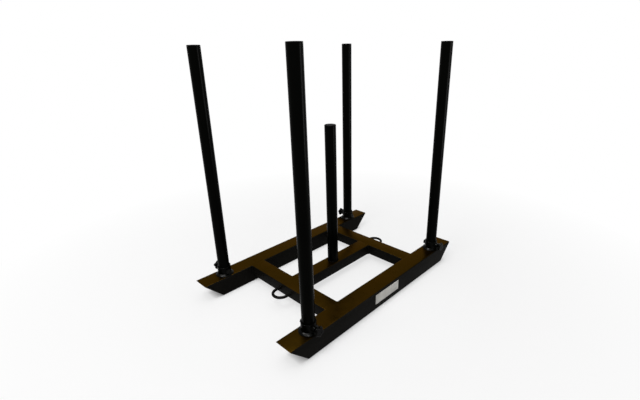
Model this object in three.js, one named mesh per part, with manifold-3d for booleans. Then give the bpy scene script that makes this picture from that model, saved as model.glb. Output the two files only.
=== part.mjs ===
// A drag sled for weight training. Two box-section skids are joined by two crossbars and a centre bar. Four
// uprights stand in sockets on the skids, each held by a clamp knob, and lift out. A weight post is fixed to
// the centre bar, and each crossbar carries a tow loop.
// Lengths are millimetres. X runs across the sled, Y along the skids and Z up, from the floor's middle.
import * as THREE from "three";
import { mergeVertices } from "three/addons/utils/BufferGeometryUtils.js";
import Module from "manifold-3d";

// Clearances
const seatGap = 0.3; // between pieces that touch
const cutOverrun = 2; // how far each cut runs past the face it opens
const mergeTolerance = 0.0001; // corners closer than this are one

// Sides of round pieces
const tubeSides = 32;
const smallSides = 16;
const hexSides = 6;
const cornerSteps = 2; // on a rounded corner, half of its flats

// Skids
const sledWidth = 630; // over the skids' outer faces
const skidWidth = 80;
const skidHeight = 80;
const skidLength = 1050; // along the top
const noseRun = 80; // how far each end slopes back to the sole
const skidWall = 4;
const skidCorner = 5; // radius along the outer edges
const nosePlateThickness = 4;

// Crossbars and centre bar
const crossbarOffset = 152; // inwards from the uprights' middles
const barWidth = 70;
const barHeight = 50;
const barWall = 4;
const barCorner = 4;

// Uprights and weight post
const uprightInset = 118; // from a skid's end to the upright's middle
const uprightTop = 1023; // above the floor
const postTop = 712; // above the floor
const postDiameter = 48.3;
const postWall = 3;
const capHead = 5;
const capEdge = 2.2; // radius round the cap's rim
const capPlugDepth = 20;
const capEdgeSteps = 2;

// Sockets
const socketDiameter = 57;
const socketRise = 40; // above the skid's top
const socketClearance = 0.5; // round the upright
const socketRingDiameter = 76;
const socketRingHeight = 7.5;
const socketRingRim = 1.5; // height of its outer edge, where the slope starts
const socketRingLand = 1; // flat width left beside the socket

// Clamps
const clampRise = 21; // of the screw's axis above the skid's top
const bossDiameter = 24;
const bossReach = 10.5; // beyond the socket's side
const screwDiameter = 12;
const screwTipChamfer = 1;
const screwInKnob = 12;
const knobStandOff = 3; // between the boss and the knob's hub
const knobDiameter = 42;
const knobLobes = 5;
const knobLobeDepth = 4.2;
const knobGripLength = 12;
const knobHubDiameter = 22;
const knobHubLength = 4;
const knobBevel = 1.5;
const knobBevelSteps = 2;
const knobProfileSteps = 40;

// Stop bolts
const stopBoltDiameter = 10;
const stopHeadAcrossFlats = 18;
const stopHeadHeight = 8;

// Tow loops
const towRodDiameter = 12;
const towLoopWidth = 68; // between the rod's centre lines
const towLoopReach = 56; // from the crossbar's face to the rod's centre line at the bend
const towPathSteps = 32;

// Label plate
const labelLength = 155;
const labelHeight = 43;
const labelThickness = 1.5;
const labelCorner = 2;
const labelMiddleHeight = 47.5; // above the floor

// Worked-out sizes
const skidMiddle = (sledWidth - skidWidth) / 2;
const skidInner = sledWidth / 2 - skidWidth;
const skidEnd = skidLength / 2;
const soleEnd = skidEnd - noseRun;
const noseThicknessAlong = (nosePlateThickness * Math.hypot(noseRun, skidHeight)) / skidHeight;
const uprightAlong = skidEnd - uprightInset;
const crossbarAlong = uprightAlong - crossbarOffset;
const crossbarFace = crossbarAlong + barWidth / 2;
const crossbarBack = crossbarAlong - barWidth / 2;
const barMiddleHeight = skidHeight - barHeight / 2;
const postRadius = postDiameter / 2;
const postBore = postRadius - postWall;
const socketRadius = socketDiameter / 2;
const socketBore = postRadius + socketClearance;
const socketLow = skidWall + seatGap;
const socketTop = skidHeight + socketRise;
const clampHeight = skidHeight + clampRise;
const bossEnd = socketRadius + bossReach;
const screwRadius = screwDiameter / 2;
const screwTip = postRadius + seatGap;
const knobStart = bossEnd + knobStandOff;
const gripStart = knobStart + knobHubLength;
const screwEnd = knobStart + screwInKnob;

const axisX = new THREE.Vector3(1, 0, 0);
const axisY = new THREE.Vector3(0, 1, 0);
const axisZ = new THREE.Vector3(0, 0, 1);
const quarterTurn = Math.PI / 2;

const wasm = await Module();
wasm.setup();

// Makes one closed solid, turned outwards if its profile ran the other way.
function solidFrom(geometry) {
  const loose = geometry.index ? geometry.toNonIndexed() : geometry;
  const positions = new THREE.BufferGeometry().setAttribute("position", loose.getAttribute("position"));
  const merged = mergeVertices(positions, mergeTolerance);
  const corners = merged.index.array;
  const triangles = [];
  for (let i = 0; i < corners.length; i += 3) {
    const [a, b, c] = corners.subarray(i, i + 3);
    if (a !== b && b !== c && c !== a) triangles.push(a, b, c);
  }
  const vertProperties = merged.attributes.position.array;
  const build = () => new wasm.Manifold(
    new wasm.Mesh({ numProp: 3, vertProperties, triVerts: new Uint32Array(triangles) }),
  );
  const made = build();
  if (made.volume() > 0) return made;
  triangles.reverse();
  return build();
}

// Turns a solid back into a three.js geometry.
function geometryFrom(solid) {
  const { vertProperties, triVerts } = solid.getMesh();
  const indexed = new THREE.BufferGeometry();
  indexed.setAttribute("position", new THREE.BufferAttribute(new Float32Array(vertProperties), 3));
  indexed.setIndex(new THREE.BufferAttribute(new Uint32Array(triVerts), 1));
  const flat = indexed.toNonIndexed();
  flat.computeVertexNormals();
  return flat;
}

// A block between two corners.
function block(low, high) {
  const size = high.map((value, i) => value - low[i]);
  const middle = high.map((value, i) => (value + low[i]) / 2);
  return solidFrom(new THREE.BoxGeometry(...size).translate(...middle));
}

// A solid turned about Z from a profile of radius and height.
function turned(profile, sides) {
  const points = profile.map(([radius, height]) => new THREE.Vector2(radius, height));
  return solidFrom(new THREE.LatheGeometry(points, sides).rotateX(quarterTurn));
}

function pipe(outer, inner, low, high, sides) {
  return turned([[inner, low], [outer, low], [outer, high], [inner, high], [inner, low]], sides);
}

function rod(radius, low, high, sides) {
  return turned([[0, low], [radius, low], [radius, high], [0, high]], sides);
}

// The same rod laid along X.
function rodAlongX(radius, low, high, sides) {
  const points = [[0, low], [radius, low], [radius, high], [0, high]];
  const profile = points.map(([r, h]) => new THREE.Vector2(r, h));
  return solidFrom(new THREE.LatheGeometry(profile, sides).rotateZ(-quarterTurn));
}

// A flat outline pulled between two positions along one axis, with its own height kept along Z.
function pulled(outline, low, high, widthAxis, lengthAxis) {
  const settings = { depth: high - low, bevelEnabled: false, curveSegments: cornerSteps };
  const geometry = new THREE.ExtrudeGeometry(outline, settings).translate(0, 0, low);
  return solidFrom(geometry.applyMatrix4(new THREE.Matrix4().makeBasis(widthAxis, axisZ, lengthAxis)));
}

// A side profile of Y and Z points, pulled across the sled between two X positions.
function acrossFrom(profile, low, high) {
  const outline = new THREE.Shape(profile.map(([y, z]) => new THREE.Vector2(y, z)));
  return pulled(outline, low, high, axisY, axisX);
}

// A rectangle with rounded corners, about its middle.
function roundedOutline(width, height, radius) {
  const outline = new THREE.Shape();
  const x = width / 2 - radius;
  const y = height / 2 - radius;
  outline.absarc(x, y, radius, 0, quarterTurn);
  outline.absarc(-x, y, radius, quarterTurn, 2 * quarterTurn);
  outline.absarc(-x, -y, radius, 2 * quarterTurn, 3 * quarterTurn);
  outline.absarc(x, -y, radius, 3 * quarterTurn, 4 * quarterTurn);
  return outline;
}

// Materials, one for each kind of piece
function finish(color, roughness, metalness) {
  return new THREE.MeshStandardMaterial({ color, roughness, metalness });
}
const framePaint = () => finish(0x1f1d1a, 0.45, 0.35);
const uprightPaint = () => finish(0x141414, 0.3, 0.4);
const capPlastic = () => finish(0x1b1b1b, 0.5, 0);
const knobPlastic = () => finish(0x101010, 0.45, 0);
const boltSteel = () => finish(0x34332f, 0.4, 0.8);
const labelMetal = () => finish(0xd9d9d6, 0.5, 0.2);

// Skids
function skidBar() {
  const outline = roundedOutline(skidWidth, skidHeight, skidCorner);
  const bar = pulled(outline, -skidEnd - cutOverrun, skidEnd + cutOverrun, axisX, axisY);
  return bar.translate([0, 0, skidHeight / 2]);
}

function skid() {
  const endPlate = noseThicknessAlong + seatGap;
  const top = skidEnd - endPlate;
  const bottom = soleEnd - endPlate;
  const half = skidWidth / 2;
  const side = [[-bottom, 0], [bottom, 0], [top, skidHeight], [-top, skidHeight]];
  const outside = skidBar().intersect(acrossFrom(side, -half, half));
  const inside = block(
    [-half + skidWall, -skidEnd - cutOverrun, skidWall],
    [half - skidWall, skidEnd + cutOverrun, skidHeight - skidWall],
  );
  const socketHole = rod(socketRadius + seatGap, skidWall + cutOverrun, skidHeight + cutOverrun, tubeSides);
  return outside
    .subtract(inside)
    .subtract(socketHole.translate([0, -uprightAlong, 0]))
    .subtract(socketHole.translate([0, uprightAlong, 0]));
}

// The sloping plate that closes a skid's near end.
function nosePlate() {
  const profile = [
    [-soleEnd, 0],
    [-soleEnd + noseThicknessAlong, 0],
    [-skidEnd + noseThicknessAlong, skidHeight],
    [-skidEnd, skidHeight],
  ];
  return skidBar().intersect(acrossFrom(profile, -skidWidth / 2, skidWidth / 2));
}

// Crossbars and centre bar, each a length of the same box section
function bar(reach, widthAxis, lengthAxis) {
  const outside = roundedOutline(barWidth, barHeight, barCorner);
  const inside = roundedOutline(barWidth - 2 * barWall, barHeight - 2 * barWall, barCorner / 2);
  const hollow = pulled(inside, -reach - cutOverrun, reach + cutOverrun, widthAxis, lengthAxis);
  return pulled(outside, -reach, reach, widthAxis, lengthAxis)
    .subtract(hollow)
    .translate([0, 0, barMiddleHeight]);
}

function crossbar() {
  return bar(skidInner - seatGap, axisY, axisX);
}

function centreBar() {
  return bar(crossbarBack - seatGap, axisX, axisY);
}

// Uprights, weight post and their caps
function upright() {
  return pipe(postRadius, postBore, socketLow, uprightTop - capHead - seatGap, tubeSides);
}

function weightPost() {
  return pipe(postRadius, postBore, skidHeight + seatGap, postTop - capHead - seatGap, tubeSides);
}

function cap(top) {
  const plug = postBore - seatGap;
  const under = top - capHead;
  const plugLow = under - capPlugDepth;
  const profile = [[0, plugLow], [plug, plugLow], [plug, under], [postRadius, under]];
  for (let i = 0; i <= capEdgeSteps; i++) {
    const angle = (quarterTurn * i) / capEdgeSteps;
    const radius = postRadius - capEdge + capEdge * Math.cos(angle);
    profile.push([radius, top - capEdge + capEdge * Math.sin(angle)]);
  }
  profile.push([0, top]);
  return turned(profile, tubeSides);
}

// Sockets, each about its own upright, with the clamp on the +X side, and the sloping collar at each one's foot
function socket() {
  const tube = pipe(socketRadius, socketBore, socketLow, socketTop, tubeSides);
  const screwHole = rodAlongX(screwRadius + seatGap, 0, socketRadius + cutOverrun, smallSides);
  const boltHole = rodAlongX(stopBoltDiameter / 2 + seatGap, -socketRadius - cutOverrun, 0, smallSides);
  return tube
    .subtract(screwHole.translate([0, 0, clampHeight]))
    .subtract(boltHole.translate([0, 0, clampHeight]));
}

function socketRing() {
  const inner = socketRadius + seatGap;
  const outer = socketRingDiameter / 2;
  const low = skidHeight + seatGap;
  const high = low + socketRingHeight;
  const profile = [
    [inner, low],
    [outer, low],
    [outer, low + socketRingRim],
    [inner + socketRingLand, high],
    [inner, high],
    [inner, low],
  ];
  return turned(profile, tubeSides);
}

// Clamps
function clampBoss() {
  const outside = rodAlongX(bossDiameter / 2, 0, bossEnd, smallSides);
  const hole = rodAlongX(screwRadius + seatGap, -cutOverrun, bossEnd + cutOverrun, smallSides);
  const seat = rod(socketRadius + seatGap, -bossDiameter, bossDiameter, tubeSides);
  return outside.subtract(hole).subtract(seat).translate([0, 0, clampHeight]);
}

function clampScrew() {
  const points = [
    [0, screwTip],
    [screwRadius - screwTipChamfer, screwTip],
    [screwRadius, screwTip + screwTipChamfer],
    [screwRadius, screwEnd],
    [0, screwEnd],
  ];
  const profile = points.map(([radius, along]) => new THREE.Vector2(radius, along));
  const lathe = new THREE.LatheGeometry(profile, smallSides).rotateZ(-quarterTurn);
  return solidFrom(lathe.translate(0, 0, clampHeight));
}

function clampKnob() {
  const outline = new THREE.Shape();
  const crest = knobDiameter / 2 - knobBevel;
  for (let i = 0; i < knobProfileSteps; i++) {
    const angle = (2 * Math.PI * i) / knobProfileSteps;
    const radius = crest - (knobLobeDepth * (1 - Math.cos(knobLobes * angle))) / 2;
    const x = radius * Math.cos(angle);
    const y = radius * Math.sin(angle);
    if (i) outline.lineTo(x, y);
    else outline.moveTo(x, y);
  }
  outline.closePath();
  const grip = new THREE.ExtrudeGeometry(outline, {
    depth: knobGripLength - 2 * knobBevel,
    bevelThickness: knobBevel,
    bevelSize: knobBevel,
    bevelSegments: knobBevelSteps,
  });
  grip.applyMatrix4(new THREE.Matrix4().makeBasis(axisY, axisZ, axisX));
  grip.translate(gripStart + knobBevel, 0, 0);
  const hub = rodAlongX(knobHubDiameter / 2, knobStart, gripStart + knobBevel, smallSides);
  const hole = rodAlongX(screwRadius + seatGap, knobStart - cutOverrun, screwEnd + seatGap, smallSides);
  return solidFrom(grip).add(hub).subtract(hole).translate([0, 0, clampHeight]);
}

// The hexagon bolt on a socket's inner side.
function stopBolt() {
  const headStart = socketRadius + seatGap;
  const headRadius = stopHeadAcrossFlats / 2 / Math.cos(Math.PI / hexSides);
  const head = rodAlongX(headRadius, -headStart - stopHeadHeight, -headStart, hexSides);
  const shank = rodAlongX(stopBoltDiameter / 2, -headStart - seatGap, -socketBore, smallSides);
  return head.add(shank).translate([0, 0, clampHeight]);
}

// The path of a tow loop's rod: a leg out, a half turn, and a leg back.
class LoopPath extends THREE.Curve {
  getPoint(share, target = new THREE.Vector3()) {
    const radius = towLoopWidth / 2;
    const leg = towLoopReach - radius - seatGap;
    const bend = Math.PI * radius;
    const along = share * (2 * leg + bend);
    const start = crossbarFace + seatGap;
    if (along < leg) return target.set(radius, -start - along, barMiddleHeight);
    if (along > leg + bend) {
      return target.set(-radius, -start - (2 * leg + bend - along), barMiddleHeight);
    }
    const angle = (along - leg) / radius;
    return target.set(radius * Math.cos(angle), -start - leg - radius * Math.sin(angle), barMiddleHeight);
  }
}

function towLoop() {
  const section = new THREE.Shape();
  section.absarc(0, 0, towRodDiameter / 2, 0, 2 * Math.PI);
  const shape = new THREE.Shape(section.getSpacedPoints(smallSides).slice(0, smallSides));
  const pulled = new THREE.ExtrudeGeometry(shape, { steps: towPathSteps, extrudePath: new LoopPath() });
  return solidFrom(pulled);
}

function labelPlate() {
  const face = sledWidth / 2 + seatGap;
  const outline = roundedOutline(labelLength, labelHeight, labelCorner);
  return pulled(outline, face, face + labelThickness, axisY, axisX).translate([0, 0, labelMiddleHeight]);
}

// Puts a piece in the sled, turned about Z and moved.
const sled = new THREE.Group();
function add(name, solid, material, x = 0, y = 0, turn = 0) {
  const mesh = new THREE.Mesh(geometryFrom(solid), material);
  mesh.name = name;
  mesh.rotation.z = turn;
  mesh.position.set(x, y, 0);
  sled.add(mesh);
}

const sides = { left: -1, right: 1 };
const ends = { front: -1, back: 1 };

for (const [side, across] of Object.entries(sides)) {
  add("skid_" + side, skid(), framePaint(), across * skidMiddle);
}
add("centre_bar", centreBar(), framePaint());
add("weight_post", weightPost(), uprightPaint());
add("weight_post_cap", cap(postTop), capPlastic());
add("label_plate", labelPlate(), labelMetal());

for (const [end, along] of Object.entries(ends)) {
  const endTurn = along < 0 ? 0 : Math.PI;
  add("crossbar_" + end, crossbar(), framePaint(), 0, along * crossbarAlong);
  add("tow_loop_" + end, towLoop(), framePaint(), 0, 0, endTurn);
  for (const [side, across] of Object.entries(sides)) {
    const corner = "_" + end + "_" + side;
    const place = [across * skidMiddle, along * uprightAlong, across < 0 ? Math.PI : 0];
    add("nose_plate" + corner, nosePlate(), framePaint(), across * skidMiddle, 0, endTurn);
    add("socket" + corner, socket(), framePaint(), ...place);
    add("socket_ring" + corner, socketRing(), framePaint(), ...place);
    add("clamp_boss" + corner, clampBoss(), framePaint(), ...place);
    add("clamp_screw" + corner, clampScrew(), boltSteel(), ...place);
    add("clamp_knob" + corner, clampKnob(), knobPlastic(), ...place);
    add("stop_bolt" + corner, stopBolt(), boltSteel(), ...place);
    add("upright" + corner, upright(), uprightPaint(), ...place);
    add("upright_cap" + corner, cap(uprightTop), capPlastic(), ...place);
  }
}

export default sled;
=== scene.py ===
# Drag sled: powder-coated steel frame, lift-out uprights with clamp knobs, weight post and tow loops
import math

import bmesh
import bpy
from mathutils import Matrix, Vector


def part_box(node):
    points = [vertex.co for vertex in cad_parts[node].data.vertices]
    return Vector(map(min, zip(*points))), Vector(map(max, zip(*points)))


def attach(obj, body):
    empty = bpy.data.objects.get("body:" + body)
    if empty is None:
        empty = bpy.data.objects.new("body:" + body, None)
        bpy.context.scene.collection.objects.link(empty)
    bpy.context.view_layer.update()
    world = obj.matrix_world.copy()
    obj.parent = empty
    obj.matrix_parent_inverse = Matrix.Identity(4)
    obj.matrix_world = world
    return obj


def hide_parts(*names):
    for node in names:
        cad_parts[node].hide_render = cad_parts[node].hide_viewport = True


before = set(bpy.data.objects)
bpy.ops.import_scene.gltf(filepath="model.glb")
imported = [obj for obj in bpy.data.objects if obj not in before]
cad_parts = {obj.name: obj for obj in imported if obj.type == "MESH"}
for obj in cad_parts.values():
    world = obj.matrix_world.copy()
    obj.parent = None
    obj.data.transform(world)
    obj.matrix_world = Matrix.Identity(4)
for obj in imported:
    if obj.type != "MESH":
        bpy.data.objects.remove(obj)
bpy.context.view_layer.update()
print("stage: frame loaded,", len(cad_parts), "nodes")

mm = 0.001
fullTurn = 2 * math.pi
quarterTurn = math.pi / 2
acrossSled, alongSled = 0, 1  # the X and Y axes
sideSigns = {"left": -1, "right": 1}
endSigns = {"front": -1, "back": 1}
# each corner's ending in the nodes' names, and which way is outwards there along X
corners = {"_" + end + "_" + side: sign for end in endSigns for side, sign in sideSigns.items()}

mergeDistance = 0.001 * mm
sharpAngle = 35  # degrees between two faces from which their edge stays sharp
overLength = 1.1  # share of its length that a bar starts with, before its ends are cut
facingShare = 0.9  # share of a face's normal along an axis from which it counts as an end face


# Reading the frame

def lowOf(node):
    return Vector(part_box(node)[0])


def highOf(node):
    return Vector(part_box(node)[1])


def middleOf(node):
    return (lowOf(node) + highOf(node)) / 2


def sizeOf(node):
    return highOf(node) - lowOf(node)


def footOf(node):
    # the point on the floor under a node's middle
    middle = middleOf(node)
    return Vector((middle.x, middle.y, 0))


def reachOf(node):
    # how near to the sled's middle and how far from it a node lies, along the skids
    return sorted((abs(lowOf(node).y), abs(highOf(node).y)))


def axisOn(corner, hardware):
    # the point on a socket's axis that is level with a piece lying across it
    foot = footOf("socket" + corner)
    return Vector((foot.x, foot.y, middleOf(hardware + corner).z))


def spanAlong(node, centre, outward):
    # how far from a socket's axis a node starts and ends, measured outwards
    return sorted((outward * (lowOf(node).x - centre.x), outward * (highOf(node).x - centre.x)))


# Mesh helpers

def smoothShade(mesh, angle):
    mesh.shade_smooth()
    mesh.set_sharp_from_angle(angle=math.radians(angle))


def finishMesh(bm, name, materials, angle=sharpAngle):
    # merges doubles, turns the faces outwards and shades the result smooth up to the sharp angle
    bmesh.ops.remove_doubles(bm, verts=bm.verts, dist=mergeDistance)
    bmesh.ops.recalc_face_normals(bm, faces=bm.faces)
    mesh = bpy.data.meshes.new(name)
    bm.to_mesh(mesh)
    bm.free()
    smoothShade(mesh, angle)
    piece = bpy.data.objects.new(name, mesh)
    bpy.context.collection.objects.link(piece)
    for material in materials:
        mesh.materials.append(material)
    return piece


def settle(piece, body, slot, *nodes):
    # hands a finished piece to its body, in place of the nodes that it stands for
    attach(piece, body)
    if nodes:
        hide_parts(*nodes)


def turnedMesh(profile, steps, closed=False):
    # a profile of radius and height turned about Z
    bm = bmesh.new()
    verts = [bm.verts.new((radius, 0, height)) for radius, height in profile]
    edges = [bm.edges.new(pair) for pair in zip(verts, verts[1:])]
    if closed:
        edges.append(bm.edges.new((verts[-1], verts[0])))
    bmesh.ops.spin(
        bm, geom=verts + edges, cent=(0, 0, 0), axis=(0, 0, 1), angle=fullTurn, steps=steps, use_merge=True,
    )
    return bm


def roundCorner(centre, radius, start, end, steps):
    # points of an arc, for the rounded rims of a turned profile; angles in degrees
    points = []
    for i in range(steps + 1):
        angle = math.radians(start + (end - start) * i / steps)
        points.append((centre[0] + radius * math.cos(angle), centre[1] + radius * math.sin(angle)))
    return points


def placeMesh(bm, place, outward=0):
    # moves a mesh to its place, first turned from Z to X where it points right (1) or left (-1)
    if outward:
        bmesh.ops.rotate(bm, verts=bm.verts, matrix=Matrix.Rotation(outward * quarterTurn, 3, "Y"))
    bmesh.ops.translate(bm, verts=bm.verts, vec=place)


def roundEdges(bm, edges, width, segments, clamp=False):
    bmesh.ops.bevel(
        bm, geom=edges, offset=width, offset_type="OFFSET", affect="EDGES", segments=segments, profile=0.5,
        material=-1, clamp_overlap=clamp,
    )


def roundFace(bm, direction, width, segments):
    # rounds the edges of the large face that looks in a direction
    bmesh.ops.recalc_face_normals(bm, faces=bm.faces)
    face = max(bm.faces, key=lambda f: f.normal.dot(direction) * f.calc_area())
    roundEdges(bm, face.edges[:], width, segments, clamp=True)


def roundedBlock(bm, size, radius, axis, segments):
    # adds a block about the origin, with its four edges along an axis rounded
    block = bmesh.ops.create_cube(bm, size=1)["verts"]
    bmesh.ops.scale(bm, verts=block, vec=size)

    def runsAlong(edge):
        return abs((edge.verts[0].co - edge.verts[1].co)[axis]) > size[axis] / 2

    edges = {e for v in block for e in v.link_edges if runsAlong(e)}
    roundEdges(bm, list(edges), radius, segments)


def boxTube(size, look, longAxis):
    # a box section about the origin, with both its ends open
    bm = bmesh.new()
    bore = Vector([size[i] if i == longAxis else size[i] - 2 * look["wall"] for i in range(3)])
    roundedBlock(bm, bore, look["corner"] / 2, longAxis, look["cornerSegments"])
    bmesh.ops.reverse_faces(bm, faces=bm.faces[:])
    roundedBlock(bm, size, look["corner"], longAxis, look["cornerSegments"])
    ends = [f for f in bm.faces if abs(f.normal[longAxis]) > facingShare]
    bmesh.ops.delete(bm, geom=ends, context="FACES_ONLY")
    return bm


def overLong(size, longAxis):
    # a size drawn out along one axis, so that the ends can be cut to length
    longer = Vector(size)
    longer[longAxis] *= overLength
    return longer


def trim(bm, point, normal, tube=False):
    # cuts off what lies past a plane and closes the cut: a tube from wall to wall, a solid right across
    geometry = bm.verts[:] + bm.edges[:] + bm.faces[:]
    cut = bmesh.ops.bisect_plane(bm, geom=geometry, plane_co=point, plane_no=normal, clear_outer=True)
    rim = [e for e in cut["geom_cut"] if isinstance(e, bmesh.types.BMEdge)]
    if tube:
        bmesh.ops.bridge_loops(bm, edges=rim)
    else:
        bmesh.ops.contextual_create(bm, geom=rim)


def pullOut(bm, faces, offset):
    # extrudes faces by an offset and gives the new end faces
    pulled = bmesh.ops.extrude_face_region(bm, geom=faces)["geom"]
    bmesh.ops.translate(bm, verts=[g for g in pulled if isinstance(g, bmesh.types.BMVert)], vec=offset)
    return [g for g in pulled if isinstance(g, bmesh.types.BMFace)]


def cutTurned(piece, profile, steps, place, outward=0, operation="DIFFERENCE", closed=False):
    # cuts a piece with a turned profile, or joins the two, or keeps what they share
    bm = turnedMesh(profile, steps, closed)
    placeMesh(bm, place, outward)
    cutter = finishMesh(bm, "cutter", [])
    modifier = piece.modifiers.new("cut", "BOOLEAN")
    modifier.object = cutter
    modifier.operation = operation
    modifier.solver = "EXACT"
    bpy.context.view_layer.update()
    evaluated = piece.evaluated_get(bpy.context.evaluated_depsgraph_get())
    cut = bpy.data.meshes.new_from_object(evaluated)
    piece.modifiers.clear()
    piece.data = cut
    bpy.data.objects.remove(cutter)


# Materials

noiseSpan = (0.3, 0.7)  # where most of a noise texture's values lie
noiseRoughness = 0.55


def newMaterial(name):
    material = bpy.data.materials.new(name)
    material.use_nodes = True
    nodes = material.node_tree.nodes
    shader = nodes["Principled BSDF"]
    coordinates = nodes.new("ShaderNodeTexCoord")
    return material, nodes, material.node_tree.links, shader, coordinates.outputs["Object"]


def noise(nodes, links, vector, scale, detail=3.0, stretch=(1, 1, 1)):
    # noise on object coordinates; scale is in features per metre
    mapping = nodes.new("ShaderNodeMapping")
    mapping.inputs["Scale"].default_value = stretch
    links.new(vector, mapping.inputs["Vector"])
    texture = nodes.new("ShaderNodeTexNoise")
    texture.inputs["Scale"].default_value = scale
    texture.inputs["Detail"].default_value = detail
    texture.inputs["Roughness"].default_value = noiseRoughness
    links.new(mapping.outputs["Vector"], texture.inputs["Vector"])
    return texture.outputs["Fac"]


def ramp(nodes, links, factor, span, values):
    # maps a span of a factor to a range of values
    mapRange = nodes.new("ShaderNodeMapRange")
    mapRange.inputs["From Min"].default_value, mapRange.inputs["From Max"].default_value = span
    mapRange.inputs["To Min"].default_value, mapRange.inputs["To Max"].default_value = values
    links.new(factor, mapRange.inputs["Value"])
    return mapRange.outputs["Result"]


def blendColours(nodes, links, factor, first, second):
    mix = nodes.new("ShaderNodeMix")
    mix.data_type = "RGBA"
    links.new(factor, mix.inputs["Factor"])
    for socket, colour in ((mix.inputs["A"], first), (mix.inputs["B"], second)):
        if isinstance(colour, tuple):
            socket.default_value = (*colour, 1)
        else:
            links.new(colour, socket)
    return mix.outputs["Result"]


def addBump(nodes, links, shader, height, strength, distance):
    bump = nodes.new("ShaderNodeBump")
    bump.inputs["Strength"].default_value = strength
    bump.inputs["Distance"].default_value = distance
    links.new(height, bump.inputs["Height"])
    links.new(bump.outputs["Normal"], shader.inputs["Normal"])


def powderCoat(name, finish):
    # baked powder paint: orange-peel ripple, slow drifts of tone, fine pale specks and uneven sheen
    material, nodes, links, shader, place = newMaterial(name)
    drift = noise(nodes, links, place, finish["driftScale"])
    tone = ramp(nodes, links, drift, noiseSpan, (0, 1))
    colour = blendColours(nodes, links, tone, finish["dark"], finish["light"])
    specks = noise(nodes, links, place, finish["speckScale"], detail=1.0)
    speckMask = ramp(nodes, links, specks, finish["speckSpan"], (0, finish["speckShare"]))
    colour = blendColours(nodes, links, speckMask, colour, finish["speck"])
    links.new(colour, shader.inputs["Base Color"])
    sheen = noise(nodes, links, place, finish["sheenScale"], stretch=finish["sheenStretch"])
    links.new(ramp(nodes, links, sheen, noiseSpan, finish["roughness"]), shader.inputs["Roughness"])
    shader.inputs["Specular IOR Level"].default_value = finish["specular"]
    shader.inputs["Metallic"].default_value = finish["metallic"]
    shader.inputs["Specular Tint"].default_value = (*finish["edgeTint"], 1)
    peel = noise(nodes, links, place, finish["peelScale"], detail=2.0)
    addBump(nodes, links, shader, peel, finish["peelStrength"], finish["peelDepth"])
    return material


def mouldedPlastic(name, finish):
    # spark-eroded mould texture over a slow change of tone
    material, nodes, links, shader, place = newMaterial(name)
    tone = ramp(nodes, links, noise(nodes, links, place, finish["driftScale"]), noiseSpan, (0, 1))
    links.new(blendColours(nodes, links, tone, finish["dark"], finish["light"]), shader.inputs["Base Color"])
    rub = noise(nodes, links, place, finish["rubScale"])
    links.new(ramp(nodes, links, rub, finish["rubSpan"], finish["roughness"]), shader.inputs["Roughness"])
    shader.inputs["Specular IOR Level"].default_value = finish["specular"]
    grain = noise(nodes, links, place, finish["grainScale"], detail=2.0)
    addBump(nodes, links, shader, grain, finish["grainStrength"], finish["grainDepth"])
    return material


def blackenedSteel(name, finish):
    # oxide-black steel, slightly cloudy, with turning lines round its axis left faint
    material, nodes, links, shader, place = newMaterial(name)
    cloud = ramp(nodes, links, noise(nodes, links, place, finish["cloudScale"]), noiseSpan, (0, 1))
    links.new(blendColours(nodes, links, cloud, finish["dark"], finish["light"]), shader.inputs["Base Color"])
    shader.inputs["Metallic"].default_value = 1
    grain = noise(nodes, links, place, finish["grainScale"], stretch=finish["grainStretch"])
    links.new(ramp(nodes, links, grain, noiseSpan, finish["roughness"]), shader.inputs["Roughness"])
    addBump(nodes, links, shader, grain, finish["grainStrength"], finish["grainDepth"])
    return material


def satinLabel(name, finish):
    # thin satin plate, brushed along its length, with faint smudges
    material, nodes, links, shader, place = newMaterial(name)
    smudges = noise(nodes, links, place, finish["smudgeScale"])
    tone = ramp(nodes, links, smudges, finish["smudgeSpan"], (0, 1))
    links.new(blendColours(nodes, links, tone, finish["light"], finish["dark"]), shader.inputs["Base Color"])
    shader.inputs["Metallic"].default_value = finish["metallic"]
    shader.inputs["Specular IOR Level"].default_value = finish["specular"]
    brushing = noise(nodes, links, place, finish["brushScale"], stretch=finish["brushStretch"])
    links.new(ramp(nodes, links, brushing, noiseSpan, finish["roughness"]), shader.inputs["Roughness"])
    addBump(nodes, links, shader, brushing, finish["brushStrength"], finish["brushDepth"])
    return material


paintFinish = {
    "dark": (0.0034, 0.0031, 0.0025), "light": (0.0058, 0.0053, 0.0043), "driftScale": 9,
    "speck": (0.020, 0.018, 0.015), "speckScale": 620, "speckSpan": (0.66, 0.71), "speckShare": 0.3,
    "sheenScale": 26, "sheenStretch": (1, 1, 1), "roughness": (0.34, 0.48), "specular": 0.014,
    "metallic": 0, "edgeTint": (1, 1, 1), "peelScale": 520, "peelStrength": 0.25, "peelDepth": 0.25 * mm,
}
# painted reflection on the up-facing faces: a warm brown metal stands in for warm light reflected off the
# black paint; its edge tint keeps the brown from paling where it is seen at a slant
topReflectionFinish = dict(
    paintFinish, dark=(0.0139, 0.0079, 0.0006), light=(0.0193, 0.0094, 0.0008), speck=(0.03, 0.018, 0.003),
    speckShare=0.15, roughness=(0.26, 0.34), metallic=1, edgeTint=(0.68, 0.58, 0.505), peelStrength=0.12,
)
tubeFinish = {
    "dark": (0.0005, 0.0006, 0.0003), "light": (0.0010, 0.0011, 0.0007), "driftScale": 7,
    "speck": (0.008, 0.008, 0.007), "speckScale": 700, "speckSpan": (0.68, 0.73), "speckShare": 0.2,
    "sheenScale": 60, "sheenStretch": (1, 1, 0.12), "roughness": (0.2, 0.3), "specular": 0.015,
    "metallic": 0, "edgeTint": (1, 1, 1), "peelScale": 420, "peelStrength": 0.2, "peelDepth": 0.2 * mm,
}
collarFinish = dict(tubeFinish, roughness=(0.18, 0.24), specular=0.03)
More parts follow.
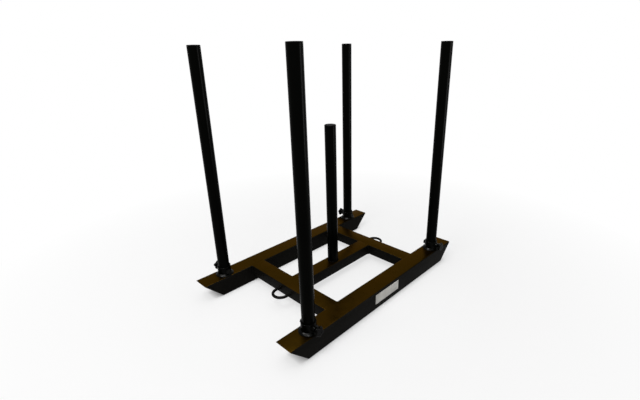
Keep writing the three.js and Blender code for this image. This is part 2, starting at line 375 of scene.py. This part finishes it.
capFinish = {
    "dark": (0.0012, 0.0012, 0.0010), "light": (0.0022, 0.0022, 0.0019), "driftScale": 90,
    "rubScale": 160, "rubSpan": (0.35, 0.65), "roughness": (0.4, 0.55), "specular": 0.015,
    "grainScale": 1500, "grainStrength": 0.35, "grainDepth": 0.1 * mm,
}
knobFinish = dict(capFinish, roughness=(0.1, 0.16), specular=0.03, grainStrength=0.08)
boltFinish = {
    "dark": (0.003, 0.0029, 0.0027), "light": (0.0075, 0.0073, 0.0068), "cloudScale": 220,
    "roughness": (0.28, 0.42), "grainScale": 900, "grainStretch": (6, 1, 1), "grainStrength": 0.15,
    "grainDepth": 0.05 * mm,
}
labelFinish = {
    "light": (0.52, 0.51, 0.48), "dark": (0.43, 0.42, 0.395), "smudgeScale": 38, "smudgeSpan": (0.35, 0.7),
    "metallic": 0.1, "specular": 0.3, "roughness": (0.42, 0.55), "brushScale": 900,
    "brushStretch": (1, 0.04, 1), "brushStrength": 0.12, "brushDepth": 0.05 * mm,
}

framePaint = powderCoat("framePaint", paintFinish)
# painted reflection: this brown on the up-facing faces stands in for warm light off the black paint
topReflectionPaint = powderCoat("topReflectionPaint", topReflectionFinish)
tubePaint = powderCoat("tubePaint", tubeFinish)
collarPaint = powderCoat("collarPaint", collarFinish)
capPlastic = mouldedPlastic("capPlastic", capFinish)
knobPlastic = mouldedPlastic("knobPlastic", knobFinish)
boltSteel = blackenedSteel("boltSteel", boltFinish)
labelMetal = satinLabel("labelMetal", labelFinish)
print("stage: materials made")


# Painted reflection: faces that look up get a brown metallic copy of the paint, standing in for warm light
# reflected there, and the sides keep the plain black

topLevel = 0.85  # share of a face's normal that has to point up


def paintTopReflection(piece):
    # faces whose normal points up take the second slot, the painted brown reflection
    for face in piece.data.polygons:
        face.material_index = 1 if face.normal.z > topLevel else 0


def settlePainted(bm, name, node):
    # a painted piece of the frame, with the painted brown reflection on its up-facing faces
    piece = finishMesh(bm, name, [framePaint, topReflectionPaint])
    paintTopReflection(piece)
    settle(piece, "frame", "frame_paint", node)


# Skids and their end plates

skidLook = {
    "wall": 4 * mm, "corner": 5 * mm, "cornerSegments": 6, "seam": 0.3 * mm, "holeGap": 0.4 * mm,
    "holeSteps": 64,
}
endPlateLook = {"edge": 0.8 * mm, "edgeSegments": 2}


def endSlope(end):
    # the sloping end's tip, its outward normal, and how far in from the tip the skid's bar ends
    plate = "nose_plate_" + end + "_left"
    size = sizeOf(plate)
    tip = reachOf(plate)[1]
    barEnd = tip - reachOf("skid_left")[1]
    run = size.y - (barEnd - skidLook["seam"])
    normal = Vector((0, endSigns[end] * size.z, -run)).normalized()
    return Vector((0, endSigns[end] * tip, highOf(plate).z)), normal, barEnd


def inwards(end, distance):
    return Vector((0, -endSigns[end] * distance, 0))


def makeSkid(side):
    node = "skid_" + side
    size = sizeOf(node)
    bm = boxTube(overLong(size, alongSled), skidLook, alongSled)
    placeMesh(bm, middleOf(node))
    for end in endSigns:
        tip, normal, barEnd = endSlope(end)
        trim(bm, tip + inwards(end, barEnd), normal, tube=True)
    skid = finishMesh(bm, "skidBar_" + side, [framePaint, topReflectionPaint])
    # the holes that the sockets go through
    for end in endSigns:
        socket = "socket_" + end + "_" + side
        radius = sizeOf(socket).x / 2 + skidLook["holeGap"]
        top = size.z + skidLook["wall"]
        hole = [(0, size.z / 2), (radius, size.z / 2), (radius, top), (0, top)]
        cutTurned(skid, hole, skidLook["holeSteps"], footOf(socket))
    smoothShade(skid.data, sharpAngle)
    # the up-facing faces get the painted brown reflection
    paintTopReflection(skid)
    settle(skid, "frame", "frame_paint", node)


def makeEndPlate(end, side):
    skid, corner = "skid_" + side, "_" + end + "_" + side
    tip, normal, barEnd = endSlope(end)
    bm = bmesh.new()
    size = overLong(sizeOf(skid), alongSled)
    roundedBlock(bm, size, skidLook["corner"], alongSled, skidLook["cornerSegments"])
    placeMesh(bm, middleOf(skid))
    trim(bm, tip, normal)
    trim(bm, tip + inwards(end, barEnd - skidLook["seam"]), -normal)
    roundFace(bm, normal, endPlateLook["edge"], endPlateLook["edgeSegments"])
    settlePainted(bm, "endPlate" + corner, "nose_plate" + corner)


for side in sideSigns:
    makeSkid(side)
for end in endSigns:
    for side in sideSigns:
        makeEndPlate(end, side)
print("stage: skids and end plates made")


# Crossbars and centre bar

barLook = {"wall": 4 * mm, "corner": 4 * mm, "cornerSegments": 5}


def makeBar(node, name, longAxis, meetsCorner):
    # each end runs in under the rounded edge that it meets, so that the tops lie flush, as ground welds do
    size = sizeOf(node)
    size[longAxis] += 2 * (meetsCorner + skidLook["seam"])
    bm = boxTube(overLong(size, longAxis), barLook, longAxis)
    for sign in (-1, 1):
        normal = Vector([sign if i == longAxis else 0 for i in range(3)])
        trim(bm, normal * size[longAxis] / 2, normal, tube=True)
    placeMesh(bm, middleOf(node))
    settlePainted(bm, name, node)


for end in endSigns:
    makeBar("crossbar_" + end, "crossbarTube_" + end, acrossSled, skidLook["corner"])
makeBar("centre_bar", "centreBarTube", alongSled, barLook["corner"])
print("stage: bars made")


# Uprights and weight post

tubeLook = {"wall": 3 * mm, "steps": 96, "footEdge": 0.8 * mm}


def makeTube(node, name, body):
    radius = sizeOf(node).x / 2
    low, high = lowOf(node).z, highOf(node).z
    bore = radius - tubeLook["wall"]
    edge = tubeLook["footEdge"]
    profile = [(bore, low), (radius - edge, low), (radius, low + edge), (radius, high), (bore, high)]
    bm = turnedMesh(profile, tubeLook["steps"], closed=True)
    placeMesh(bm, footOf(node))
    settle(finishMesh(bm, name, [tubePaint]), body, "upright_paint", node)


for corner in corners:
    makeTube("upright" + corner, "uprightTube" + corner, "upright" + corner)
makeTube("weight_post", "weightPostTube", "frame")


# Caps: a thin lip, a rounded rim and a low dome, on a plug with two ribs

capLook = {
    "lip": 0.4 * mm, "head": 5 * mm, "rim": 2.2 * mm, "rimSteps": 6, "dome": 0.7 * mm, "domeSteps": 8,
    "steps": 96, "rib": 0.5 * mm, "ribHeight": 2.5 * mm, "ribShares": (0.35, 0.7), "plugEdge": 1.5 * mm,
    "plugGap": 3.4 * mm,
}


def makeCap(node, name, body):
    top, low = highOf(node).z, lowOf(node).z
    radius = sizeOf(node).x / 2
    plug = radius - capLook["plugGap"]
    under = top - capLook["head"]
    waist = plug - capLook["rib"]
    profile = [(0, low), (waist - capLook["plugEdge"], low), (waist, low + capLook["plugEdge"])]
    for share in capLook["ribShares"]:
        rib = low + (under - low) * share
        profile += [
            (waist, rib), (plug, rib + capLook["rib"]), (plug, rib + capLook["ribHeight"]),
            (waist, rib + capLook["ribHeight"] + capLook["rib"]),
        ]
    profile += [(waist, under), (radius - capLook["lip"], under), (radius, under + capLook["lip"])]
    flat = radius - capLook["rim"]
    rimCentre = (flat, top - capLook["dome"] - capLook["rim"])
    profile += roundCorner(rimCentre, capLook["rim"], 0, 90, capLook["rimSteps"])
    for i in range(1, capLook["domeSteps"] + 1):
        share = 1 - i / capLook["domeSteps"]
        profile.append((flat * share, top - capLook["dome"] * share * share))
    bm = turnedMesh(profile, capLook["steps"])
    placeMesh(bm, footOf(node))
    settle(finishMesh(bm, name, [capPlastic]), body, "cap_plastic", node)


for corner in corners:
    makeCap("upright_cap" + corner, "uprightCapPlug" + corner, "upright" + corner)
makeCap("weight_post_cap", "weightPostCapPlug", "frame")
print("stage: uprights, weight post and caps made")


# Sockets and the sloping collar at each one's foot

socketLook = {
    "bore": 49.3 * mm, "lip": 1.2 * mm, "lipSteps": 4, "innerEdge": 0.8 * mm, "steps": 96,
    "holeGap": 0.3 * mm, "holeSteps": 32, "drillFromShare": 0.5, "drillToShare": 1.3,
}
collarLook = {"rim": 1.5 * mm, "round": 0.8 * mm, "bulge": 0.25 * mm, "slopeSteps": 6, "steps": 96}
boltLook = {
    "sides": 6, "head": 8 * mm, "crownShare": 0.94, "coneSlope": 0.55, "coneReachShare": 1.2,
    "shank": 10 * mm, "steps": 48, "sharpAngle": 25,
}


def makeSocket(corner, outward):
    node = "socket" + corner
    radius, bore = sizeOf(node).x / 2, socketLook["bore"] / 2
    low, high = lowOf(node).z, highOf(node).z
    lip = socketLook["lip"]
    profile = [(bore, low), (radius, low)]
    profile += roundCorner((radius - lip, high - lip), lip, 0, 90, socketLook["lipSteps"])
    profile += [(bore + socketLook["innerEdge"], high), (bore, high - socketLook["innerEdge"])]
    bm = turnedMesh(profile, socketLook["steps"], closed=True)
    placeMesh(bm, footOf(node))
    socket = finishMesh(bm, "socketTube" + corner, [collarPaint])
    # holes for the clamp screw on the outer side and the stop bolt on the inner side
    shafts = (
        ("clamp_screw", outward, sizeOf("clamp_screw" + corner).y / 2),
        ("stop_bolt", -outward, boltLook["shank"] / 2),
    )
    near, far = bore * socketLook["drillFromShare"], radius * socketLook["drillToShare"]
    for hardware, way, shaft in shafts:
        hole = shaft + socketLook["holeGap"]
        drill = [(0, near), (hole, near), (hole, far), (0, far)]
        cutTurned(socket, drill, socketLook["holeSteps"], axisOn(corner, hardware), way)
    smoothShade(socket.data, sharpAngle)
    settle(socket, "frame", "frame_paint", node)


def makeCollar(corner):
    node = "socket_ring" + corner
    outer = sizeOf(node).x / 2
    inner = sizeOf("socket" + corner).x / 2 + socketLook["holeGap"]
    low, high = lowOf(node).z, highOf(node).z
    rim = low + collarLook["rim"]
    profile = [(inner, low), (outer, low), (outer, rim - collarLook["round"] / 2)]
    start = Vector((outer, rim))
    slope = Vector((inner, high)) - start
    outwards = Vector((slope.y, -slope.x)).normalized()
    for i in range(collarLook["slopeSteps"] + 1):
        share = i / collarLook["slopeSteps"]
        # 0 halfway up the slope, and -1 at both its ends
        bow = 4 * share * (1 - share) - 1
        point = start + slope * share + outwards * collarLook["bulge"] * bow
        profile.append((max(point.x, inner), min(point.y, high)))
    bm = turnedMesh(profile, collarLook["steps"], closed=True)
    placeMesh(bm, footOf(node))
    settle(finishMesh(bm, "socketCollar" + corner, [collarPaint]), "frame", "frame_paint", node)


for corner, outward in corners.items():
    makeSocket(corner, outward)
    makeCollar(corner)
print("stage: sockets and collars made")


# Clamps: boss, threaded screw and star knob, each laid along X away from its upright

bossLook = {"edge": 1.2 * mm, "edgeSteps": 3, "steps": 64, "gap": 0.3 * mm, "seatSteps": 96}
screwLook = {
    "pitch": 1.75 * mm, "depth": 0.95 * mm, "turnSteps": 24, "spareTurns": 2, "runOutTurns": 1.5,
    "rootShare": 0.12, "crestShares": (0.46, 0.66), "mergeDistance": 0.01 * mm,
}
knobLook = {
    "lobes": 5, "lobeDepth": 4.2 * mm, "profileSteps": 120, "grip": 12 * mm, "edge": 3 * mm,
    "edgeSegments": 6, "hubDiameter": 22 * mm, "hubRound": 1.2 * mm, "hubRoundSteps": 4, "steps": 64,
    "dish": 1.1 * mm, "dishRadius": 11 * mm, "holeSteps": 48,
}


def makeBoss(corner, outward):
    node = "clamp_boss" + corner
    place = axisOn(corner, "clamp_screw")
    tip = spanAlong(node, place, outward)[1]
    radius = sizeOf(node).y / 2
    hole = sizeOf("clamp_screw" + corner).y / 2 + bossLook["gap"]
    edge = bossLook["edge"]
    profile = [(hole, 0), (radius, 0)]
    profile += roundCorner((radius - edge, tip - edge), edge, 0, 90, bossLook["edgeSteps"])
    profile += [(hole + edge / 2, tip), (hole, tip - edge / 2)]
    bm = turnedMesh(profile, bossLook["steps"], closed=True)
    placeMesh(bm, place, outward)
    boss = finishMesh(bm, "clampBossTube" + corner, [collarPaint])
    # its inner end is cut to the round of the socket
    seat = sizeOf("socket" + corner).x / 2 + bossLook["gap"]
    depth = 2 * radius
    cutTurned(boss, [(0, -depth), (seat, -depth), (seat, depth), (0, depth)], bossLook["seatSteps"], place)
    smoothShade(boss.data, sharpAngle)
    settle(boss, "frame", "frame_paint", node)


def makeScrew(corner, outward):
    node = "clamp_screw" + corner
    place = axisOn(corner, "clamp_screw")
    root, tip = spanAlong(node, place, outward)
    radius = sizeOf(node).y / 2
    core = radius - screwLook["depth"]
    pitch = screwLook["pitch"]
    crestFrom, crestTo = screwLook["crestShares"]
    # one turn of the thread's outline, from the root up to the crest and down again
    outline = [
        (core, 0), (core, pitch * screwLook["rootShare"]), (radius, pitch * crestFrom),
        (radius, pitch * crestTo), (core, pitch),
    ]
    bm = bmesh.new()
    verts = [bm.verts.new((r, 0, z)) for r, z in outline]
    edges = [bm.edges.new(pair) for pair in zip(verts, verts[1:])]
    turns = math.ceil((tip - root) / pitch) + screwLook["spareTurns"]
    bmesh.ops.spin(
        bm, geom=verts + edges, cent=(0, 0, 0), axis=(0, 0, 1), dvec=(0, 0, pitch / screwLook["turnSteps"]),
        angle=fullTurn * turns, steps=screwLook["turnSteps"] * turns, use_merge=False,
    )
    bmesh.ops.remove_doubles(bm, verts=bm.verts, dist=screwLook["mergeDistance"])
    placeMesh(bm, Vector((0, 0, root - screwLook["runOutTurns"] * pitch)))
    for level, way in ((root, -1), (tip, 1)):
        trim(bm, Vector((0, 0, level)), Vector((0, 0, way)))
    placeMesh(bm, place, outward)
    screw = finishMesh(bm, "clampScrewThread" + corner, [boltSteel])
    settle(screw, "clamp_screw" + corner, "bolt_steel", node)


def makeKnob(corner, outward):
    node = "clamp_knob" + corner
    place = axisOn(corner, "clamp_screw")
    root, tip = spanAlong(node, place, outward)
    gripStart = tip - knobLook["grip"]
    bm = bmesh.new()
    crest = max(sizeOf(node).y, sizeOf(node).z) / 2
    star = bmesh.ops.create_circle(bm, cap_ends=True, radius=1, segments=knobLook["profileSteps"])["verts"]
    for vert in star:
        angle = math.atan2(vert.co.y, vert.co.x)
        radius = crest - knobLook["lobeDepth"] * (1 - math.cos(knobLook["lobes"] * angle)) / 2
        vert.co = Vector((radius * math.cos(angle), radius * math.sin(angle), gripStart))
    pullOut(bm, bm.faces[:], (0, 0, tip - gripStart))
    bmesh.ops.recalc_face_normals(bm, faces=bm.faces)
    rims = [e for f in bm.faces if abs(f.normal.z) > facingShare for e in f.edges]
    roundEdges(bm, rims, knobLook["edge"], knobLook["edgeSegments"], clamp=True)
    placeMesh(bm, place, outward)
    knob = finishMesh(bm, "clampKnobStar" + corner, [knobPlastic])

    # the hub
    hubRadius, soft = knobLook["hubDiameter"] / 2, knobLook["hubRound"]
    hole = sizeOf("clamp_screw" + corner).y / 2 + bossLook["gap"]
    sunk = gripStart + knobLook["edge"]
    hub = [(hole, root + soft / 2), (hole + soft / 2, root)]
    hub += roundCorner((hubRadius - soft, root + soft), soft, -90, 0, knobLook["hubRoundSteps"])
    hub += [(hubRadius, sunk), (hole, sunk)]
    cutTurned(knob, hub, knobLook["steps"], place, outward, "UNION", closed=True)

    # a shallow dish in the outer face, and the hole for the screw
    dishRadius, dish = knobLook["dishRadius"], knobLook["dish"]
    hollow = [(0, tip - dish), (dishRadius - dish, tip - dish), (dishRadius, tip + dish), (0, tip + dish)]
    cutTurned(knob, hollow, knobLook["steps"], place, outward)
    screwTip = spanAlong("clamp_screw" + corner, place, outward)[1] + bossLook["gap"]
    bored = [(0, 0), (hole, 0), (hole, screwTip), (0, screwTip)]
    cutTurned(knob, bored, knobLook["holeSteps"], place, outward)
    smoothShade(knob.data, sharpAngle)
    settle(knob, "clamp_knob" + corner, "knob_plastic", node)


for corner, outward in corners.items():
    makeBoss(corner, outward)
    makeScrew(corner, outward)
    makeKnob(corner, outward)
print("stage: clamps made")


# Stop bolts: a hexagon head with chamfered corners, on a short shank

def makeStopBolt(corner, inward):
    node = "stop_bolt" + corner
    place = axisOn(corner, "stop_bolt")
    shankTip, headTop = spanAlong(node, place, inward)
    head = boltLook["head"]
    headRadius = max(sizeOf(node).y, sizeOf(node).z) / 2
    bm = bmesh.new()
    bmesh.ops.create_cone(
        bm, cap_ends=True, segments=boltLook["sides"], radius1=headRadius, radius2=headRadius, depth=head,
    )
    placeMesh(bm, Vector((0, 0, headTop - head / 2)))
    placeMesh(bm, place, inward)
    bolt = finishMesh(bm, "stopBoltHex" + corner, [boltSteel], boltLook["sharpAngle"])

    # a cone takes the corners off the outer face
    reach = headRadius * boltLook["coneReachShare"]
    crown = headRadius * math.cos(math.pi / boltLook["sides"]) * boltLook["crownShare"]
    coneEdge = headTop - (reach - crown) * boltLook["coneSlope"]
    coneFoot = headTop - head - reach
    cone = [(0, coneFoot), (reach, coneFoot), (reach, coneEdge), (crown, headTop), (0, headTop)]
    cutTurned(bolt, cone, boltLook["steps"], place, inward, "INTERSECT")
    shankRadius, sunk = boltLook["shank"] / 2, headTop - head / 2
    shank = [(0, shankTip), (shankRadius, shankTip), (shankRadius, sunk), (0, sunk)]
    cutTurned(bolt, shank, boltLook["steps"], place, inward, "UNION")
    smoothShade(bolt.data, boltLook["sharpAngle"])
    settle(bolt, "frame", "bolt_steel", node)


for corner, outward in corners.items():
    makeStopBolt(corner, -outward)


# Tow loops

loopLook = {"rod": 12 * mm, "steps": 32, "bendSteps": 40, "sink": 1 * mm}


def makeTowLoop(end):
    node = "tow_loop_" + end
    outward = endSigns[end]
    level = middleOf(node).z
    rodRadius = loopLook["rod"] / 2
    bend = sizeOf(node).x / 2 - rodRadius
    near, far = reachOf(node)
    root = near - loopLook["sink"]
    leg = far - rodRadius - bend - root
    # a round section at the right leg's root, facing outwards
    bm = bmesh.new()
    bmesh.ops.create_circle(bm, cap_ends=True, radius=rodRadius, segments=loopLook["steps"])
    bmesh.ops.rotate(bm, verts=bm.verts, matrix=Matrix.Rotation(-outward * quarterTurn, 3, "X"))
    placeMesh(bm, Vector((bend, outward * root, level)))
    front = pullOut(bm, bm.faces[:], (0, outward * leg, 0))
    bent = bmesh.ops.spin(
        bm, geom=front, cent=(0, outward * (root + leg), level), axis=(0, 0, outward), angle=math.pi,
        steps=loopLook["bendSteps"], use_merge=False,
    )["geom_last"]
    front = [g for g in bent if isinstance(g, bmesh.types.BMFace)]
    pullOut(bm, front, (0, -outward * leg, 0))
    settle(finishMesh(bm, "towLoopRod_" + end, [framePaint]), "frame", "frame_paint", node)


for end in endSigns:
    makeTowLoop(end)
print("stage: stop bolts and tow loops made")


# Label plate, bare

labelLook = {"corner": 1.5 * mm, "cornerSegments": 4, "edge": 0.35 * mm, "edgeSegments": 2}


def makeLabel():
    node = "label_plate"
    bm = bmesh.new()
    roundedBlock(bm, sizeOf(node), labelLook["corner"], acrossSled, labelLook["cornerSegments"])
    placeMesh(bm, middleOf(node))
    roundFace(bm, Vector((1, 0, 0)), labelLook["edge"], labelLook["edgeSegments"])
    settle(finishMesh(bm, "labelPlate", [labelMetal]), "frame", "label_metal", node)


makeLabel()
print("stage: label made")


# Weld beads: a rippled rod along each joint, left open at the top, where the joint is ground level

weldLook = {
    "bead": 3.2 * mm, "footBead": 2.4 * mm, "bossBead": 1.92 * mm, "ripple": 0.07,
    "rippleLength": 3.2 * mm, "ripplePoints": 4, "roundness": 5, "cornerSteps": 4, "topOpenShare": 0.9,
    "postSteps": 96, "bossSteps": 72, "towSteps": 40, "sharpAngle": 50,
}


def makeBead(name, line, radius, closed=False, material=framePaint):
    # a round bead along a line of points, its thickness rippling as the weld pool does
    curve = bpy.data.curves.new(name, "CURVE")
    curve.dimensions = "3D"
    curve.bevel_depth = radius
    curve.bevel_resolution = weldLook["roundness"]
    curve.use_fill_caps = not closed
    stride = weldLook["rippleLength"] / weldLook["ripplePoints"]
    places = []
    for point, following in zip(line, line[1:] + line[:1] if closed else line[1:]):
        count = max(1, round((following - point).length / stride))
        places += [point.lerp(following, k / count) for k in range(count)]
    if not closed:
        places.append(line[-1])
    spline = curve.splines.new("POLY")
    spline.points.add(len(places) - 1)
    spline.use_cyclic_u = closed
    for i, (knot, place) in enumerate(zip(spline.points, places)):
        knot.co = (*place, 1)
        knot.radius = 1 + weldLook["ripple"] * math.cos(fullTurn * i / weldLook["ripplePoints"])
    rod = bpy.data.objects.new(name + "Curve", curve)
    bpy.context.collection.objects.link(rod)
    bpy.context.view_layer.update()
    mesh = bpy.data.meshes.new_from_object(rod.evaluated_get(bpy.context.evaluated_depsgraph_get()))
    bpy.data.objects.remove(rod)
    bm = bmesh.new()
    bm.from_mesh(mesh)
    settle(finishMesh(bm, name, [material], weldLook["sharpAngle"]), "frame", "frame_paint")


def jointLine(face, axis, low, high):
    # round a bar's end where it meets a flat face: down one side, under, and up the other
    across = alongSled if axis == acrossSled else acrossSled
    steps, corner = weldLook["cornerSteps"], barLook["corner"]
    top = high.z - weldLook["bead"] * weldLook["topOpenShare"]
    line = [(low[across], top)]
    for i in range(steps + 1):
        angle = quarterTurn * i / steps
        inset, rise = corner * (1 - math.cos(angle)), corner * (1 - math.sin(angle))
        line.append((low[across] + inset, low.z + rise))
    # the other corner is the first one mirrored
    line += [(low[across] + high[across] - a, z) for a, z in reversed(line)]
    return [Vector((face, a, z) if axis == acrossSled else (a, face, z)) for a, z in line]


def circleLine(radius, steps):
    # points round a circle in its own plane
    angles = [fullTurn * i / steps for i in range(steps)]
    return [(radius * math.cos(angle), radius * math.sin(angle)) for angle in angles]


def weldBars(end):
    low, high = lowOf("crossbar_" + end), highOf("crossbar_" + end)
    for side, sign in sideSigns.items():
        line = jointLine(sign * (abs(high.x) + skidLook["seam"]), acrossSled, low, high)
        makeBead("weldCrossbar_" + end + "_" + side, line, weldLook["bead"])
    low, high = lowOf("centre_bar"), highOf("centre_bar")
    line = jointLine(endSigns[end] * (high.y + skidLook["seam"]), alongSled, low, high)
    makeBead("weldCentreBar_" + end, line, weldLook["bead"])


def weldPost():
    middle, foot = middleOf("weight_post"), lowOf("weight_post").z
    radius = sizeOf("weight_post").x / 2
    ring = circleLine(radius, weldLook["postSteps"])
    line = [Vector((middle.x + a, middle.y + b, foot)) for a, b in ring]
    makeBead("weldPostFoot", line, weldLook["footBead"], closed=True, material=tubePaint)


def weldBoss(corner, outward):
    centre = axisOn(corner, "clamp_screw")
    socketRadius = sizeOf("socket" + corner).x / 2
    # where the boss's round meets the socket's
    ring = circleLine(sizeOf("clamp_boss" + corner).y / 2, weldLook["bossSteps"])
    line = [centre + Vector((outward * math.sqrt(socketRadius**2 - a**2), a, b)) for a, b in ring]
    makeBead("weldBoss" + corner, line, weldLook["bossBead"], closed=True, material=collarPaint)


def weldTowLoop(end):
    node = "tow_loop_" + end
    face, level = endSigns[end] * reachOf(node)[0], middleOf(node).z
    rodRadius = loopLook["rod"] / 2
    ring = circleLine(rodRadius, weldLook["towSteps"])
    for name, sign in (("Left", -1), ("Right", 1)):
        leg = sign * (sizeOf(node).x / 2 - rodRadius)
        line = [Vector((leg + a, face, level + b)) for a, b in ring]
        makeBead("weldTow" + name + "_" + end, line, weldLook["bead"], closed=True)


for end in endSigns:
    weldBars(end)
weldPost()
for corner, outward in corners.items():
    weldBoss(corner, outward)
for end in endSigns:
    weldTowLoop(end)
print("stage: welds made")


# Floor, lights and camera

studio = {
    "floorRadius": 14, "floorSegments": 96, "floorColour": (0.93, 0.93, 0.93), "floorRoughness": 0.9,
    "fadeSpan": (0.7, 1.7), "floorGlow": 0.66, "contactReach": 0.03, "skyLight": 0.45,
    "keyDirection": (0.04, -0.46, 0.89), "keyDistance": 3.0, "keySize": (1.0, 1.0), "keyPower": 24,
    "stripSize": (2.8, 0.35), "stripPower": 150,
    "overheadHeight": 3.2, "overheadSize": (2.6, 2.6), "overheadPower": 26,
    "panelAround": 28, "panelDistance": 2.4, "panelSize": (0.6, 1.4), "panelPower": 34,
    "ceilingUnder": (-0.55, -0.15, 0), "ceilingHeight": 3.1, "ceilingSize": (0.8, 1.7), "ceilingPower": 130,
}
camera = {
    "place": (1.1158, -1.1290, 1.0044), "around": 44.121, "above": 21.217, "roll": -1.032, "lens": 21.768,
    "sensor": 36, "shiftX": -0.0236, "shiftY": -0.0032,
}


def combine(nodes, links, operation, first, second):
    # one Math node on two outputs
    result = nodes.new("ShaderNodeMath")
    result.operation = operation
    links.new(first, result.inputs[0])
    links.new(second, result.inputs[1])
    return result.outputs["Value"]


def makeFloor():
    bm = bmesh.new()
    bmesh.ops.create_circle(
        bm, cap_ends=True, radius=studio["floorRadius"], segments=studio["floorSegments"],
    )
    floor = finishMesh(bm, "floor", [])
    material, nodes, links, shader, place = newMaterial("floorPaint")
    shader.inputs["Base Color"].default_value = (*studio["floorColour"], 1)
    shader.inputs["Roughness"].default_value = studio["floorRoughness"]
    shader.inputs["Specular IOR Level"].default_value = 0
    # far from the sled the floor turns into the plain white backdrop
    distance = nodes.new("ShaderNodeVectorMath")
    distance.operation = "LENGTH"
    links.new(place, distance.inputs[0])
    fade = ramp(nodes, links, distance.outputs["Value"], studio["fadeSpan"], (studio["floorGlow"], 1))
    glow = nodes.new("ShaderNodeEmission")
    path = nodes.new("ShaderNodeLightPath")
    seen = combine(nodes, links, "MAXIMUM", path.outputs["Is Camera Ray"], path.outputs["Is Glossy Ray"])
    # the glow dies out under the skids, which leaves their contact shadow dark
    contact = nodes.new("ShaderNodeAmbientOcclusion")
    contact.inputs["Distance"].default_value = studio["contactReach"]
    share = combine(nodes, links, "MULTIPLY", seen, fade)
    share = combine(nodes, links, "MULTIPLY", share, contact.outputs["AO"])
    mix = nodes.new("ShaderNodeMixShader")
    links.new(share, mix.inputs["Fac"])
    links.new(shader.outputs["BSDF"], mix.inputs[1])
    links.new(glow.outputs["Emission"], mix.inputs[2])
    links.new(mix.outputs["Shader"], nodes["Material Output"].inputs["Surface"])
    floor.data.materials.append(material)


def makeSky():
    # white to the camera and in reflections, dimmer as a light
    world = bpy.data.worlds.new("backdrop")
    bpy.context.scene.world = world
    world.use_nodes = True
    nodes, links = world.node_tree.nodes, world.node_tree.links
    background = nodes["Background"]
    background.inputs["Color"].default_value = (1, 1, 1, 1)
    path = nodes.new("ShaderNodeLightPath")
    seen = path.outputs["Is Camera Ray"]
    for ray in ("Is Glossy Ray", "Is Transmission Ray"):
        seen = combine(nodes, links, "MAXIMUM", seen, path.outputs[ray])
    strength = ramp(nodes, links, seen, (0, 1), (studio["skyLight"], 1))
    links.new(strength, background.inputs["Strength"])


def makeSoftbox(name, place, aim, glossOnly=False):
    # a gloss-only lamp gives highlights and casts no light or shadow on the floor
    light = bpy.data.lights.new(name, "AREA")
    light.shape = "RECTANGLE"
    light.size, light.size_y = studio[name + "Size"]
    light.energy = studio[name + "Power"]
    lamp = bpy.data.objects.new(name, light)
    lamp.location = place
    lamp.visible_diffuse = not glossOnly
    lamp.visible_camera = False
    lamp.rotation_euler = (aim - place).to_track_quat("-Z", "Y").to_euler()
    bpy.context.collection.objects.link(lamp)


def placeLamps():
    sled = Vector((0, 0, 0))
    keyPlace = Vector(studio["keyDirection"]).normalized() * studio["keyDistance"]
    makeSoftbox("key", keyPlace, sled)
    makeSoftbox("strip", keyPlace, sled, glossOnly=True)
    makeSoftbox("overhead", Vector((0, 0, studio["overheadHeight"])), sled)
    panelAim = Vector((0, 0, studio["panelSize"][1] / 2))
    around = Matrix.Rotation(math.radians(studio["panelAround"]), 3, "Z")
    panelPlace = around @ Vector((studio["panelDistance"], 0, 0)) + panelAim
    makeSoftbox("panel", panelPlace, panelAim, glossOnly=True)
    under = Vector(studio["ceilingUnder"])
    makeSoftbox("ceiling", under + Vector((0, 0, studio["ceilingHeight"])), under, glossOnly=True)


def makeCamera():
    around, above, roll = (math.radians(camera[k]) for k in ("around", "above", "roll"))
    level = Vector((math.sin(around), -math.cos(around), 0))
    back = level * math.cos(above) + Vector((0, 0, math.sin(above)))
    right = Vector((math.cos(around), math.sin(around), 0))
    up = back.cross(right)
    rolledRight = right * math.cos(roll) + up * math.sin(roll)
    rolledUp = up * math.cos(roll) - right * math.sin(roll)
    data = bpy.data.cameras.new("camera")
    data.lens = camera["lens"]
    data.sensor_width = camera["sensor"]
    data.shift_x, data.shift_y = camera["shiftX"], camera["shiftY"]
    viewer = bpy.data.objects.new("camera", data)
    turn = Matrix((rolledRight, rolledUp, back)).transposed()
    viewer.matrix_world = Matrix.Translation(Vector(camera["place"])) @ turn.to_4x4()
    bpy.context.collection.objects.link(viewer)
    bpy.context.scene.camera = viewer


makeFloor()
makeSky()
placeLamps()
makeCamera()
bpy.context.scene.view_settings.view_transform = "Standard"
print("stage: floor, lights and camera placed")
